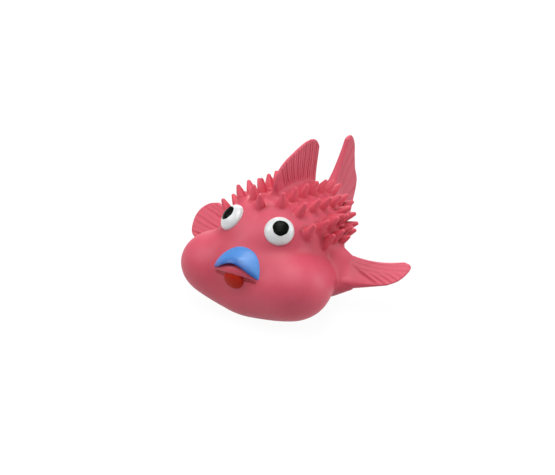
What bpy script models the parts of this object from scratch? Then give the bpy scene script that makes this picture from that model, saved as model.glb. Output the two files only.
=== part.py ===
"""Squeaky fish dog toy: a hollow moulded latex fish with a push-in squeaker.

Metres, Z up. The nose points to -Y, the tail to +Y and the fish's left is +X.
The toy stands on its flat belly at Z = 0.
"""

import bmesh
import bpy
import numpy as np
from math import cos, pi, radians, sin
from mathutils import Matrix, Vector

# Room left between pieces that touch
GAP = 0.0003

# Latex skin: one smooth surface round these lumps, each a centre and three radii
TRUNK_CENTRE = (0.0, -0.008, 0.037)
TRUNK_RADII = (0.033, 0.049, 0.032)
CHEEK_CENTRE = (0.0242, -0.0425, 0.0239)
CHEEK_RADII = (0.0282, 0.0240, 0.0212)
MUZZLE_CENTRE = (0.0, -0.053, 0.0330)
MUZZLE_RADII = (0.017, 0.0135, 0.011)
CHIN_CENTRE = (0.0, -0.044, 0.0170)
CHIN_RADII = (0.033, 0.0225, 0.0185)
BELLY_CENTRE = (0.0, -0.006, 0.0155)
BELLY_RADII = (0.0385, 0.036, 0.0205)
BROW_CENTRE = (0.0121, -0.0231, 0.0485)
BROW_RADII = (0.0185, 0.0230, 0.0165)
TAIL_STOCK_CENTRE = (0.0, 0.030, 0.038)
TAIL_STOCK_RADII = (0.010, 0.020, 0.020)
SKIN_BLEND = 0.007
FLOOR_ROUNDING = 0.003
SKIN_WALL = 0.0024
PARTING_HEIGHT = 0.024
SKIN_CUTS = 15
LINING_CUTS = 8
FILLING_SHARE = 0.985

# Spikes: rows of soft cones on both sides and a single one on the brow
SPIKE_BASE_RADIUS = 0.0036
SPIKE_TIP_RADIUS = 0.0013
SPIKE_LENGTH = 0.0085
SPIKE_SINK = 0.0012
SPIKE_SIDES = 7
SPIKE_LEAN_BACK = 0.22
# each row: angle from straight up at its front and rear, first and last Y, how many, and how far
# its front and rear spikes are turned up
SPIKE_ROWS = (
    (19.0, 28.0, -0.027, 0.029, 7, 0.0, 0.0),
    (39.0, 48.0, -0.025, 0.021, 5, 0.1, 0.0),
    (61.0, 69.0, -0.0285, 0.0175, 5, 1.0, 0.0),
    (62.0, 58.0, 0.0005, 0.025, 3, 0.0, 0.0),
    (80.0, 82.0, -0.0133, 0.018, 4, 1.0, 0.2),
    (90.0, 88.0, 0.0025, 0.0125, 2, 0.6, 0.4),
)
BROW_SPIKE_ANGLE = -4.0
BROW_SPIKE_Y = -0.0328
BROW_SPIKE_LEAN_UP = 0.3

# Fins: each blade runs from a rounded root bead on the skin out to its margin
FIN_RIBS = 13
FIN_EDGE_HALF = 0.0011
DORSAL_START_Y = -0.021
DORSAL_END_Y = 0.0225
DORSAL_ROOT_HALF = 0.0026
DORSAL_LENGTH = 0.0502
DORSAL_HEIGHT = 0.0248
# margin of the dorsal fin from front to rear: shares of its length and of its height over the trunk
DORSAL_SHAPE = (
    (0.01, 0.28),
    (0.08, 0.545),
    (0.24, 0.74),
    (0.46, 0.875),
    (0.66, 0.975),
    (0.815, 1.0),
    (0.93, 0.92),
    (1.0, 0.725),
)
TAIL_LOW_ANGLE = -42.0
TAIL_HIGH_ANGLE = 53.0
TAIL_ROOT_HALF = 0.0032
TAIL_REACH = 0.048
TAIL_RISE = 0.044
# margin of the tail fin from the low lobe to the high one: shares of its reach and of its rise
# from the tail stock's centre
TAIL_SHAPE = (
    (0.625, -0.535),
    (0.815, -0.34),
    (0.925, -0.045),
    (1.0, 0.225),
    (0.94, 0.455),
    (0.915, 0.68),
    (0.885, 0.885),
    (0.815, 1.0),
    (0.71, 0.98),
)
PECTORAL_LOW = (-0.0125, 0.0128)
PECTORAL_HIGH = (0.0010, 0.0338)
PECTORAL_ROOT_HALF = 0.0032
PECTORAL_REACH = 0.0802
# margins of the pectoral fins from the lower, leading edge to the upper one: X, Y and Z as shares
# of their reach from the middle of the fish; the right fin is spread wider than the left
LEFT_PECTORAL_SHAPE = (
    (0.91, -0.074, 0.277),
    (0.975, 0.002, 0.305),
    (1.0, 0.112, 0.344),
    (0.978, 0.172, 0.365),
    (0.916, 0.186, 0.371),
)
RIGHT_PECTORAL_SHAPE = (
    (0.829, -0.182, 0.209),
    (0.943, -0.135, 0.253),
    (0.994, -0.045, 0.327),
    (0.994, 0.037, 0.39),
    (0.942, 0.103, 0.439),
    (0.848, 0.131, 0.463),
)
LEFT_PECTORAL_SAG = 0.0036
RIGHT_PECTORAL_SAG = 0.0012

# Face: painted domes, the lip and the tongue
EYE_WAY = (0.0181, -0.0334, 0.0209)
EYE_RADIUS = 0.0090
EYE_RISE = 0.0050
PUPIL_RADIUS = 0.0047
PUPIL_FILM = 0.0007
PUPIL_UP = 0.0007
PUPIL_OUT = 0.0010
MOUTH_ASIDE = 0.0013
LIP_HALF_WIDTH = 0.0160
LIP_CORNER_HEIGHT = 0.0345
LIP_ARCH = 0.0096
LIP_HALF_BREADTH = 0.0046
LIP_RISE = 0.0045
TONGUE_HEIGHT = 0.0303
TONGUE_RADII = (0.0062, 0.0052, 0.0016)

# Squeaker: a plastic drum held by the rim of a hole in the belly
SQUEAKER_Y = -0.004
SQUEAKER_RECESS = 0.0018
SQUEAKER_SEAT = 0.0024
SQUEAKER_BOSS_RADIUS = 0.0130
SQUEAKER_FLANGE_RADIUS = 0.0098
SQUEAKER_FLANGE = 0.0010
SQUEAKER_NECK_RADIUS = 0.0078
SQUEAKER_DRUM_RADIUS = 0.0086
SQUEAKER_DRUM_HEIGHT = 0.0036
SQUEAKER_BORE_RADIUS = 0.0062
SQUEAKER_WEB = 0.0012
AIR_HOLE_RADIUS = 0.0020
CAP_PLUG = 0.0012
REED_DISC = 0.0014
REED_BLOCK_HALF_WIDTH = 0.0022
REED_BLOCK_HALF_LENGTH = 0.0045
REED_BLOCK_HEIGHT = 0.0014
REED_HALF_WIDTH = 0.0017
REED_THICKNESS = 0.00025
REED_CLAMP_LENGTH = 0.0026
REED_TAIL = 0.0008
REED_SLOT_HALF_WIDTH = 0.0011
TURNED_SIDES = 28


for old in list(bpy.data.objects):
    bpy.data.objects.remove(old, do_unlink=True)


# Materials
def material(name, colour, roughness):
    made = bpy.data.materials.new(name)
    made.use_nodes = True
    shader = made.node_tree.nodes["Principled BSDF"]
    shader.inputs["Base Color"].default_value = (*colour, 1.0)
    shader.inputs["Roughness"].default_value = roughness
    return made


LATEX = material("pink_latex", (0.60, 0.10, 0.14), 0.55)
WHITE_PAINT = material("white_paint", (0.80, 0.82, 0.84), 0.35)
BLACK_PAINT = material("black_paint", (0.01, 0.01, 0.01), 0.30)
BLUE_PAINT = material("blue_paint", (0.10, 0.30, 0.80), 0.30)
RED_PAINT = material("red_paint", (0.36, 0.02, 0.01), 0.40)
PLASTIC = material("white_plastic", (0.78, 0.78, 0.76), 0.45)
FILM = material("reed_film", (0.55, 0.57, 0.60), 0.30)
FIBRE = material("polyester_fibre", (0.82, 0.82, 0.80), 0.90)


# Objects
ROOT = bpy.data.objects.new("squeaky_fish", None)
bpy.context.scene.collection.objects.link(ROOT)


def place(name, mesh, finish, at=(0.0, 0.0, 0.0)):
    """Adds an object whose origin is at the given point; its mesh is in the toy's own frame."""
    bmesh.ops.translate(mesh, verts=mesh.verts, vec=-Vector(at))
    bmesh.ops.recalc_face_normals(mesh, faces=mesh.faces)
    data = bpy.data.meshes.new(name)
    mesh.to_mesh(data)
    mesh.free()
    made = bpy.data.objects.new(name, data)
    bpy.context.scene.collection.objects.link(made)
    made.parent = ROOT
    made.location = at
    if finish:
        data.materials.append(finish)
    return made


def helper(name, mesh):
    """Adds an object that only cuts or joins."""
    made = place(name, mesh, None)
    made.hide_render = True
    made.display_type = "WIRE"
    return made


def combine(target, tool, operation):
    step = target.modifiers.new(operation.lower() + "_" + tool.name, "BOOLEAN")
    step.operation = operation
    step.solver = "EXACT"
    step.object = tool


def box(low, high):
    mesh = bmesh.new()
    size = Vector(high) - Vector(low)
    middle = (Vector(high) + Vector(low)) / 2
    bmesh.ops.create_cube(mesh, size=1.0, matrix=Matrix.Translation(middle) @ Matrix.Diagonal((*size, 1.0)))
    return mesh


def cylinder(radius, low, high, y):
    mesh = bmesh.new()
    place_at = Matrix.Translation((0.0, y, (low + high) / 2))
    bmesh.ops.create_cone(
        mesh, cap_ends=True, segments=TURNED_SIDES, radius1=radius, radius2=radius,
        depth=high - low, matrix=place_at,
    )
    return mesh


def turned(profile, y):
    """Spins a closed profile of (radius, height) points round the squeaker's axis."""
    mesh = bmesh.new()
    ring = [mesh.verts.new((radius, y, height)) for radius, height in profile]
    edges = [mesh.edges.new((ring[i - 1], ring[i])) for i in range(len(ring))]
    bmesh.ops.spin(
        mesh, geom=ring + edges, cent=(0.0, y, 0.0), axis=(0.0, 0.0, 1.0),
        angle=2 * pi, steps=TURNED_SIDES, use_merge=True,
    )
    return mesh


# Skin surface
LUMPS = (
    (TRUNK_CENTRE, TRUNK_RADII),
    (CHEEK_CENTRE, CHEEK_RADII),
    (MUZZLE_CENTRE, MUZZLE_RADII),
    (CHIN_CENTRE, CHIN_RADII),
    (BELLY_CENTRE, BELLY_RADII),
    (BROW_CENTRE, BROW_RADII),
    (TAIL_STOCK_CENTRE, TAIL_STOCK_RADII),
)
TRUNK_TOP = TRUNK_CENTRE[2] + TRUNK_RADII[2]
FAR_AWAY = 0.2


def lump_distance(points, centre, radii):
    scaled = (points - np.array(centre)) / np.array(radii)
    reach = np.linalg.norm(scaled, axis=-1)
    slope = np.linalg.norm(scaled / np.array(radii), axis=-1)
    return reach * (reach - 1.0) / np.maximum(slope, 1e-6)


def soft_min(first, second, blend):
    share = np.maximum(blend - np.abs(first - second), 0.0) / blend
    return np.minimum(first, second) - share * share * blend / 4


def skin_distance(points):
    """How far each point is outside the skin; the lumps are the same on both sides of the fish."""
    folded = points * np.array((1.0, 1.0, 1.0))
    folded[..., 0] = np.abs(folded[..., 0])
    joined = lump_distance(folded, *LUMPS[0])
    for centre, radii in LUMPS[1:]:
        joined = soft_min(joined, lump_distance(folded, centre, radii), SKIN_BLEND)
    return -soft_min(-joined, folded[..., 2], FLOOR_ROUNDING)


def skin_hits(starts, ways, level=0.0):
    """Points where lines from inside the body reach this distance outside the skin."""
    starts = np.array(starts, float)
    ways = np.array(ways, float)
    ways = ways / np.linalg.norm(ways, axis=-1, keepdims=True)
    near = np.zeros(ways.shape[:-1])
    far = np.full(ways.shape[:-1], FAR_AWAY)
    for _ in range(44):
        middle = (near + far) / 2
        inside = skin_distance(starts + ways * middle[..., None]) < level
        near = np.where(inside, middle, near)
        far = np.where(inside, far, middle)
    return starts + ways * near[..., None]


def skin_normals(points):
    step = 1e-5
    slopes = [
        skin_distance(points + step * axis) - skin_distance(points - step * axis) for axis in np.eye(3)
    ]
    slopes = np.stack(slopes, axis=-1)
    return slopes / np.linalg.norm(slopes, axis=-1, keepdims=True)


def skin_solid(cuts, level):
    """A closed mesh at this distance outside the skin: a cube, cut up and blown out to it."""
    mesh = bmesh.new()
    bmesh.ops.create_cube(mesh, size=2.0)
    bmesh.ops.subdivide_edges(mesh, edges=mesh.edges[:], cuts=cuts, use_grid_fill=True)
    ways = np.tan(np.array([vert.co[:] for vert in mesh.verts]) * pi / 4)
    middle = np.tile(np.array(TRUNK_CENTRE), (len(ways), 1))
    for vert, point in zip(mesh.verts, skin_hits(middle, ways, level)):
        vert.co = point
    bmesh.ops.triangulate(mesh, faces=mesh.faces[:], quad_method="FIXED")
    return mesh


# Latex skin, moulded in one and parted at the mould line so that the back can be pressed down
LINING = helper("lining", skin_solid(LINING_CUTS, -SKIN_WALL))
SEAT = helper("seat", skin_solid(SKIN_CUTS, GAP))
upper_low = (-FAR_AWAY, -FAR_AWAY, PARTING_HEIGHT + GAP / 2)
UPPER = helper("upper_room", box(upper_low, (FAR_AWAY, FAR_AWAY, FAR_AWAY)))
lower_high = (FAR_AWAY, FAR_AWAY, PARTING_HEIGHT - GAP / 2)
LOWER = helper("lower_room", box((-FAR_AWAY, -FAR_AWAY, -FAR_AWAY), lower_high))

SEAT_TOP = SQUEAKER_RECESS + SQUEAKER_SEAT
belly_skin = place("belly_skin", skin_solid(SKIN_CUTS, 0.0), LATEX)
combine(belly_skin, LOWER, "INTERSECT")
combine(belly_skin, LINING, "DIFFERENCE")
boss = helper("squeaker_boss", cylinder(SQUEAKER_BOSS_RADIUS, SQUEAKER_RECESS / 2, SEAT_TOP, SQUEAKER_Y))
combine(belly_skin, boss, "UNION")
recess_radius = SQUEAKER_FLANGE_RADIUS + 2 * GAP
recess = helper("squeaker_recess", cylinder(recess_radius, -0.01, SQUEAKER_RECESS, SQUEAKER_Y))
combine(belly_skin, recess, "DIFFERENCE")
hole = helper("squeaker_hole", cylinder(SQUEAKER_NECK_RADIUS + GAP, -0.01, 0.01 + SEAT_TOP, SQUEAKER_Y))
combine(belly_skin, hole, "DIFFERENCE")

spiny_skin = place("spiny_skin", skin_solid(SKIN_CUTS, 0.0), LATEX)
combine(spiny_skin, UPPER, "INTERSECT")
combine(spiny_skin, LINING, "DIFFERENCE")

# each row is joined by itself, because spikes of neighbouring rows overlap
spike_rows = [[(radians(BROW_SPIKE_ANGLE), BROW_SPIKE_Y, BROW_SPIKE_LEAN_UP)]]
for front_angle, rear_angle, first_y, last_y, count, front_lean, rear_lean in SPIKE_ROWS:
    row = []
    for share in np.linspace(0.0, 1.0, count):
        angle = radians(front_angle + (rear_angle - front_angle) * share)
        along = first_y + (last_y - first_y) * share
        lean_up = front_lean + (rear_lean - front_lean) * share
        row += [(side * angle, along, lean_up) for side in (1, -1)]
    spike_rows.append(row)
for number, row in enumerate(spike_rows):
    spikes = bmesh.new()
    for angle, along, lean_up in row:
        start = np.array((0.0, along, TRUNK_CENTRE[2]))
        foot = skin_hits(start, (sin(angle), 0.0, cos(angle)))
        outward = Vector(skin_normals(foot))
        way = (outward + Vector((0.0, SPIKE_LEAN_BACK, lean_up))).normalized()
        stand = outward.to_track_quat("Z", "X").to_matrix()
        cone = bmesh.ops.create_cone(
            spikes, cap_ends=True, segments=SPIKE_SIDES, radius1=SPIKE_BASE_RADIUS,
            radius2=SPIKE_TIP_RADIUS, depth=2.0,
        )
        for vert in cone["verts"]:
            ring = Vector((vert.co.x, vert.co.y, 0.0))
            if vert.co.z < 0:
                vert.co = Vector(foot) + stand @ ring - SPIKE_SINK * outward
            else:
                vert.co = Vector(foot) + stand @ ring + SPIKE_LENGTH * way
    combine(spiny_skin, helper(f"spike_row_{number}", spikes), "UNION")


# Fins
def smooth_path(stations, count):
    """Points evenly along a smooth curve through the stations."""
    stations = np.array(stations, float)
    padded = np.vstack((2 * stations[0] - stations[1], stations, 2 * stations[-1] - stations[-2]))
    fine = []
    for share in np.linspace(0.0, len(stations) - 1.0, 40 * len(stations)):
        first = min(int(share), len(stations) - 2)
        t = share - first
        a, b, c, d = padded[first:first + 4]
        fine.append(
            0.5 * (2 * b + (c - a) * t + (2 * a - 5 * b + 4 * c - d) * t**2
                   + (3 * b - a - 3 * c + d) * t**3)
        )
    fine = np.array(fine)
    steps = np.linalg.norm(np.diff(fine, axis=0), axis=1)
    run = np.concatenate(((0.0,), np.cumsum(steps)))
    wanted = np.linspace(0.0, run[-1], count)
    return np.stack([np.interp(wanted, run, fine[:, axis]) for axis in range(fine.shape[1])], axis=-1)


def fin(name, root, outward, margin, side, root_half, sag):
    """A blade from a rounded bead on the root line to the margin; returns it with its bending axis."""
    bead = root + outward * root_half
    chord = bead[-1] - bead[0]
    chord = chord / np.linalg.norm(chord)
    out = outward.mean(axis=0)
    out = out - chord * (out @ chord)
    out = out / np.linalg.norm(out)
    heights = (bead - bead.mean(axis=0)) @ out
    hinge = bead.mean(axis=0) + out * heights.max()
    rows = []
    for turn in (radians(18), radians(50), radians(90)):
        rows.append((bead - outward * root_half * cos(turn), root_half * sin(turn)))
    for share in (0.2, 0.45, 0.7, 0.9, 1.0):
        middle = bead + (margin - bead) * share + sag * 4 * share * (1 - share)
        half = root_half + (FIN_EDGE_HALF - root_half) * share
        rows.append((middle, half if share < 1.0 else half / 2))
    mesh = bmesh.new()
    last = len(rows) - 1
    bmesh.ops.create_grid(mesh, x_segments=FIN_RIBS - 1, y_segments=last, size=1.0)
    bmesh.ops.solidify(mesh, geom=mesh.faces[:], thickness=0.5)
    level = sum(vert.co.z for vert in mesh.verts) / len(mesh.verts)
    for vert in mesh.verts:
        rib = round((vert.co.x + 1) / 2 * (FIN_RIBS - 1))
        middle, half = rows[round((vert.co.y + 1) / 2 * last)]
        if rib in (0, FIN_RIBS - 1):
            half = half * 0.5
        face = 1.0 if vert.co.z > level else -1.0
        vert.co = Vector(middle[rib] + np.array(side) * half * face)
    return place(name, mesh, LATEX, at=Vector(hinge)), Vector(chord)


# dorsal fin, along the ridge of the back
dorsal_y = np.linspace(DORSAL_START_Y, DORSAL_END_Y, FIN_RIBS)
along_ridge = np.stack((0 * dorsal_y, dorsal_y, 0 * dorsal_y + TRUNK_CENTRE[2]), axis=-1)
dorsal_root = skin_hits(along_ridge, np.tile((0.0, 0.0, 1.0), (FIN_RIBS, 1)), GAP)
dorsal_edge = smooth_path(np.array(DORSAL_SHAPE) * (DORSAL_LENGTH, DORSAL_HEIGHT), FIN_RIBS)
dorsal_edge = dorsal_edge + (DORSAL_START_Y, TRUNK_TOP)
dorsal_margin = np.stack((0 * dorsal_y, *dorsal_edge.T), axis=-1)
fin("dorsal_fin", dorsal_root, skin_normals(dorsal_root), dorsal_margin, (1, 0, 0), DORSAL_ROOT_HALF, 0.0)

# tail fin, round the end of the tail stock
tail_angles = np.radians(np.linspace(TAIL_LOW_ANGLE, TAIL_HIGH_ANGLE, FIN_RIBS))
tail_ways = np.stack((0 * tail_angles, np.cos(tail_angles), np.sin(tail_angles)), axis=-1)
tail_root = skin_hits(np.tile(np.array(TAIL_STOCK_CENTRE), (FIN_RIBS, 1)), tail_ways, GAP)
tail_edge = smooth_path(np.array(TAIL_SHAPE) * (TAIL_REACH, TAIL_RISE), FIN_RIBS)
tail_margin = np.array(TAIL_STOCK_CENTRE) + np.stack((0 * tail_angles, *tail_edge.T), axis=-1)
fin("tail_fin", tail_root, skin_normals(tail_root), tail_margin, (1, 0, 0), TAIL_ROOT_HALF, 0.0)

# pectoral fins, on the flanks behind the cheeks
flank = np.linspace(PECTORAL_LOW, PECTORAL_HIGH, FIN_RIBS)
flank = np.stack((0 * flank[:, 0], *flank.T), axis=-1)
flank_root = skin_hits(flank, np.tile((1.0, 0.0, 0.0), (FIN_RIBS, 1)), GAP)
flank_out = skin_normals(flank_root)
for name, mirror, shape, sag in (
    ("left_pectoral_fin", 1.0, LEFT_PECTORAL_SHAPE, LEFT_PECTORAL_SAG),
    ("right_pectoral_fin", -1.0, RIGHT_PECTORAL_SHAPE, RIGHT_PECTORAL_SAG),
):
    flip = np.array((mirror, 1.0, 1.0))
    margin = smooth_path(np.array(shape) * PECTORAL_REACH, FIN_RIBS)
    blade_side = np.cross(flank_root[-1] - flank_root[0], margin.mean(axis=0) - flank_root.mean(axis=0))
    blade_side = blade_side / np.linalg.norm(blade_side)
    sag_shares = np.linspace(0.0, 1.0, FIN_RIBS)[:, None] * np.array((0.0, -0.4, -0.9)) * sag
    fin(
        name, flank_root * flip, flank_out * flip, margin * flip, blade_side * flip,
        PECTORAL_ROOT_HALF, sag_shares * flip,
    )


# Face
def dome(foot, outward, up, radii):
    """A flattened ball on the skin, its third radius along the outward way."""
    outward = Vector(outward)
    up = (Vector(up) - outward * outward.dot(Vector(up))).normalized()
    turn = Matrix((up.cross(outward), up, outward)).transposed().to_4x4()
    mesh = bmesh.new()
    bmesh.ops.create_uvsphere(
        mesh, u_segments=20, v_segments=12, radius=1.0,
        matrix=Matrix.Translation(foot) @ turn @ Matrix.Diagonal((*radii, 1.0)),
    )
    return mesh


def grown(radii, more):
    return tuple(radius + more for radius in radii)


eye_radii = (EYE_RADIUS, EYE_RADIUS, EYE_RISE)
for name, mirror in (("left", 1.0), ("right", -1.0)):
    way = np.array(EYE_WAY) * np.array((mirror, 1.0, 1.0))
    eye = skin_hits(np.array(TRUNK_CENTRE), way)
    eye_out = skin_normals(eye)
    white = place(name + "_eye_white", dome(eye, eye_out, (0, 0, 1), eye_radii), WHITE_PAINT)
    combine(white, SEAT, "DIFFERENCE")
    out = Vector(eye_out)
    up = (Vector((0, 0, 1)) - out * out.z).normalized()
    away = up.cross(out) if up.cross(out).x * mirror > 0 else out.cross(up)
    pupil_foot = Vector(eye) + up * PUPIL_UP + away * PUPIL_OUT
    stand = out.to_track_quat("Z", "Y").to_matrix().to_4x4()
    stand = Matrix.Translation(pupil_foot + out * (EYE_RISE + GAP)) @ stand
    plug = bmesh.new()
    bmesh.ops.create_cone(
        plug, cap_ends=True, segments=18, radius1=PUPIL_RADIUS, radius2=PUPIL_RADIUS, depth=EYE_RISE * 2,
        matrix=stand,
    )
    pupil = place(name + "_pupil", plug, BLACK_PAINT)
    film_room = dome(eye, eye_out, (0, 0, 1), grown(eye_radii, GAP + PUPIL_FILM))
    combine(pupil, helper(name + "_film_room", film_room), "INTERSECT")
    under_film = dome(eye, eye_out, (0, 0, 1), grown(eye_radii, GAP))
    combine(pupil, helper(name + "_under_film", under_film), "DIFFERENCE")

lip = bmesh.new()
bmesh.ops.create_uvsphere(lip, u_segments=12, v_segments=16, radius=1.0)
for vert in lip.verts:
    share = vert.co.z
    height = LIP_CORNER_HEIGHT + LIP_ARCH * (1 - share**2)
    over = np.array((MOUTH_ASIDE + LIP_HALF_WIDTH * share, CHEEK_CENTRE[1], height))
    foot = skin_hits(over, (0.0, -1.0, 0.0))
    outward = Vector(skin_normals(foot))
    along = Vector((LIP_HALF_WIDTH, 0.0, -2 * LIP_ARCH * share)).normalized()
    across = outward.cross(along).normalized()
    vert.co = Vector(foot) + outward * vert.co.x * LIP_RISE + across * vert.co.y * LIP_HALF_BREADTH
upper_lip = place("upper_lip", lip, BLUE_PAINT)
combine(upper_lip, SEAT, "DIFFERENCE")

tongue_foot = skin_hits(np.array((MOUTH_ASIDE, CHEEK_CENTRE[1], TONGUE_HEIGHT)), (0.0, -1.0, 0.0))
tongue = place("tongue", dome(tongue_foot, skin_normals(tongue_foot), (0, 0, 1), TONGUE_RADII), RED_PAINT)
combine(tongue, SEAT, "DIFFERENCE")


# Squeaker, from its outer face up into the body
flange_low = SQUEAKER_RECESS - GAP - SQUEAKER_FLANGE
flange_top = SQUEAKER_RECESS - GAP
inner_low = SEAT_TOP + GAP
inner_top = inner_low + SQUEAKER_FLANGE
drum_top = inner_top + SQUEAKER_DRUM_HEIGHT
web_top = flange_low + SQUEAKER_WEB
place("squeaker_housing", turned((
    (AIR_HOLE_RADIUS, flange_low),
    (SQUEAKER_FLANGE_RADIUS, flange_low),
    (SQUEAKER_FLANGE_RADIUS, flange_top),
    (SQUEAKER_NECK_RADIUS, flange_top),
    (SQUEAKER_NECK_RADIUS, inner_low),
    (SQUEAKER_FLANGE_RADIUS, inner_low),
    (SQUEAKER_FLANGE_RADIUS, inner_top),
    (SQUEAKER_DRUM_RADIUS, inner_top),
    (SQUEAKER_DRUM_RADIUS, drum_top),
    (SQUEAKER_BORE_RADIUS, drum_top),
    (SQUEAKER_BORE_RADIUS, web_top),
    (AIR_HOLE_RADIUS, web_top),
), SQUEAKER_Y), PLASTIC)

cap_low = drum_top + GAP
cap_top = cap_low + SQUEAKER_FLANGE
plug_radius = SQUEAKER_BORE_RADIUS - GAP
place("squeaker_cap", turned((
    (AIR_HOLE_RADIUS, drum_top - CAP_PLUG),
    (plug_radius, drum_top - CAP_PLUG),
    (plug_radius, cap_low),
    (SQUEAKER_DRUM_RADIUS, cap_low),
    (SQUEAKER_DRUM_RADIUS, cap_top),
    (AIR_HOLE_RADIUS, cap_top),
), SQUEAKER_Y), PLASTIC)

disc_low = web_top + GAP
disc_top = disc_low + REED_DISC
block_top = disc_top + REED_BLOCK_HEIGHT
rear = SQUEAKER_Y - REED_BLOCK_HALF_LENGTH
front = SQUEAKER_Y + REED_BLOCK_HALF_LENGTH
reed_base = place("reed_base", cylinder(plug_radius, disc_low, disc_top, SQUEAKER_Y), PLASTIC)
block = box(
    (-REED_BLOCK_HALF_WIDTH, rear, disc_low + REED_DISC / 2), (REED_BLOCK_HALF_WIDTH, front, block_top)
)
combine(reed_base, helper("reed_block", block), "UNION")
slot = box(
    (-REED_SLOT_HALF_WIDTH, rear + REED_CLAMP_LENGTH + GAP, disc_low - 0.001),
    (REED_SLOT_HALF_WIDTH, front - REED_TAIL, block_top + 0.001),
)
combine(reed_base, helper("reed_slot", slot), "DIFFERENCE")

reed_low = block_top + GAP
reed_root = rear + REED_CLAMP_LENGTH
reed_mesh = box(
    (-REED_HALF_WIDTH, reed_root - REED_TAIL, reed_low), (REED_HALF_WIDTH, front, reed_low + REED_THICKNESS)
)
place("reed", reed_mesh, FILM, at=(0.0, reed_root, reed_low + REED_THICKNESS / 2))

clamp_low = reed_low + REED_THICKNESS + GAP
clamp_mesh = box(
    (-REED_BLOCK_HALF_WIDTH, rear, clamp_low),
    (REED_BLOCK_HALF_WIDTH, rear + REED_CLAMP_LENGTH, drum_top - CAP_PLUG - GAP),
)
place("reed_clamp", clamp_mesh, PLASTIC)


# Fibre filling, round the squeaker
wad = skin_solid(LINING_CUTS, -SKIN_WALL)
for vert in wad.verts:
    vert.co = Vector(TRUNK_CENTRE).lerp(vert.co, FILLING_SHARE)
fibre_filling = place("fibre_filling", wad, FIBRE)
pocket = helper(
    "squeaker_pocket", cylinder(SQUEAKER_BOSS_RADIUS + GAP, -0.01, cap_top + GAP, SQUEAKER_Y)
)
combine(fibre_filling, pocket, "DIFFERENCE")


# Origin under the middle of the whole toy
bpy.context.view_layer.update()
graph = bpy.context.evaluated_depsgraph_get()
spread = []
for made in ROOT.children:
    if not made.hide_render:
        shown = made.evaluated_get(graph)
        spread += [(shown.matrix_world @ Vector(corner)).y for corner in shown.bound_box]
ROOT.location.y = -(min(spread) + max(spread)) / 2
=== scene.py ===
from math import cos, pi, radians, sin

import bmesh
import bpy
import numpy as np
from mathutils import Matrix, Vector


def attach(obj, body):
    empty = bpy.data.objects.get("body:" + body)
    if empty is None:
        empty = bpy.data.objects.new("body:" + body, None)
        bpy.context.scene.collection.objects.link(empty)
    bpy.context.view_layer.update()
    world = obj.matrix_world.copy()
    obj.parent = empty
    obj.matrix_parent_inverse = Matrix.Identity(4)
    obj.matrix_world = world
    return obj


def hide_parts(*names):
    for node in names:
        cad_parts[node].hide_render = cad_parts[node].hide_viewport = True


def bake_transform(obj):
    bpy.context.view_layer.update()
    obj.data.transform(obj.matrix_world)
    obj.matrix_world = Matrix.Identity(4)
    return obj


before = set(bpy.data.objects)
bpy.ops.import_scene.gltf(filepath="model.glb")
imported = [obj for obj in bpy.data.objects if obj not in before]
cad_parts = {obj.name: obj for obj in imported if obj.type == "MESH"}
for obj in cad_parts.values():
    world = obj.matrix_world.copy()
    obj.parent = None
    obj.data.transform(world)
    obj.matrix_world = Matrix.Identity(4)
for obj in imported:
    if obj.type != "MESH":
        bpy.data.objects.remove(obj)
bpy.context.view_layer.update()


# Body form
# The smooth form that the mould gives the fish: one skin drawn round trunk, cheeks, muzzle, chin,
# belly, flanks, brows and tail stock, the same on both sides and pressed flat where the toy stands.
trunk_centre = (0.0, -0.0130, 0.0370)
tail_stock_centre = (0.0, 0.0250, 0.0380)
firm_join = 0.007
flank_join = 0.008
soft_join = 0.012
body_lumps = {
    "trunk": (trunk_centre, (0.0330, 0.0490, 0.0320), firm_join),
    "cheeks": ((0.0242, -0.0475, 0.0239), (0.0282, 0.0240, 0.0212), soft_join),
    "muzzle": ((0.0, -0.0580, 0.0330), (0.0170, 0.0135, 0.0110), firm_join),
    "chin": ((0.0, -0.0490, 0.0170), (0.0330, 0.0225, 0.0185), firm_join),
    "belly": ((0.0, -0.0110, 0.0155), (0.0385, 0.0360, 0.0205), soft_join),
    "flanks": ((0.0330, -0.0330, 0.0215), (0.0130, 0.0160, 0.0115), flank_join),
    "brows": ((0.0121, -0.0281, 0.0485), (0.0185, 0.0230, 0.0165), firm_join),
    "tail stock": (tail_stock_centre, (0.0100, 0.0200, 0.0200), firm_join),
}
floor_rounding = 0.003
far_away = 1.0
tiny = 1e-6


def soft_min(first, second, join):
    """The smaller of two distances, rounded over where they are nearly equal."""
    share = np.maximum(join - np.abs(first - second), 0.0) / join
    return np.minimum(first, second) - share * share * join / 4


def lump_distance(points, centre, radii):
    """About how far each point is outside a lump with these radii."""
    scaled = (points - np.array(centre)) / np.array(radii)
    reach = np.linalg.norm(scaled, axis=-1)
    slope = np.linalg.norm(scaled / np.array(radii), axis=-1)
    return reach * (reach - 1.0) / np.maximum(slope, tiny)


def body_distance(points):
    """How far each point is outside the body form."""
    folded = np.abs(points * (1, 0, 0)) + points * (0, 1, 1)
    joined = np.full(points.shape[:-1], far_away)
    for centre, radii, join in body_lumps.values():
        joined = soft_min(joined, lump_distance(folded, centre, radii), join)
    return -soft_min(-joined, points[..., 2], floor_rounding)


def on_body(starts, ways, level=0.0):
    """Where lines from inside the body come this far out of its surface."""
    farthest = 0.2
    halvings = 40
    starts, ways = np.broadcast_arrays(np.array(starts, float), np.array(ways, float))
    ways = ways / np.linalg.norm(ways, axis=-1, keepdims=True)
    near = np.zeros(ways.shape[:-1])
    far = np.full(ways.shape[:-1], farthest)
    for _ in range(halvings):
        middle = (near + far) / 2
        inside = body_distance(starts + ways * middle[..., None]) < level
        near = np.where(inside, middle, near)
        far = np.where(inside, far, middle)
    return starts + ways * near[..., None]


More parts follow.
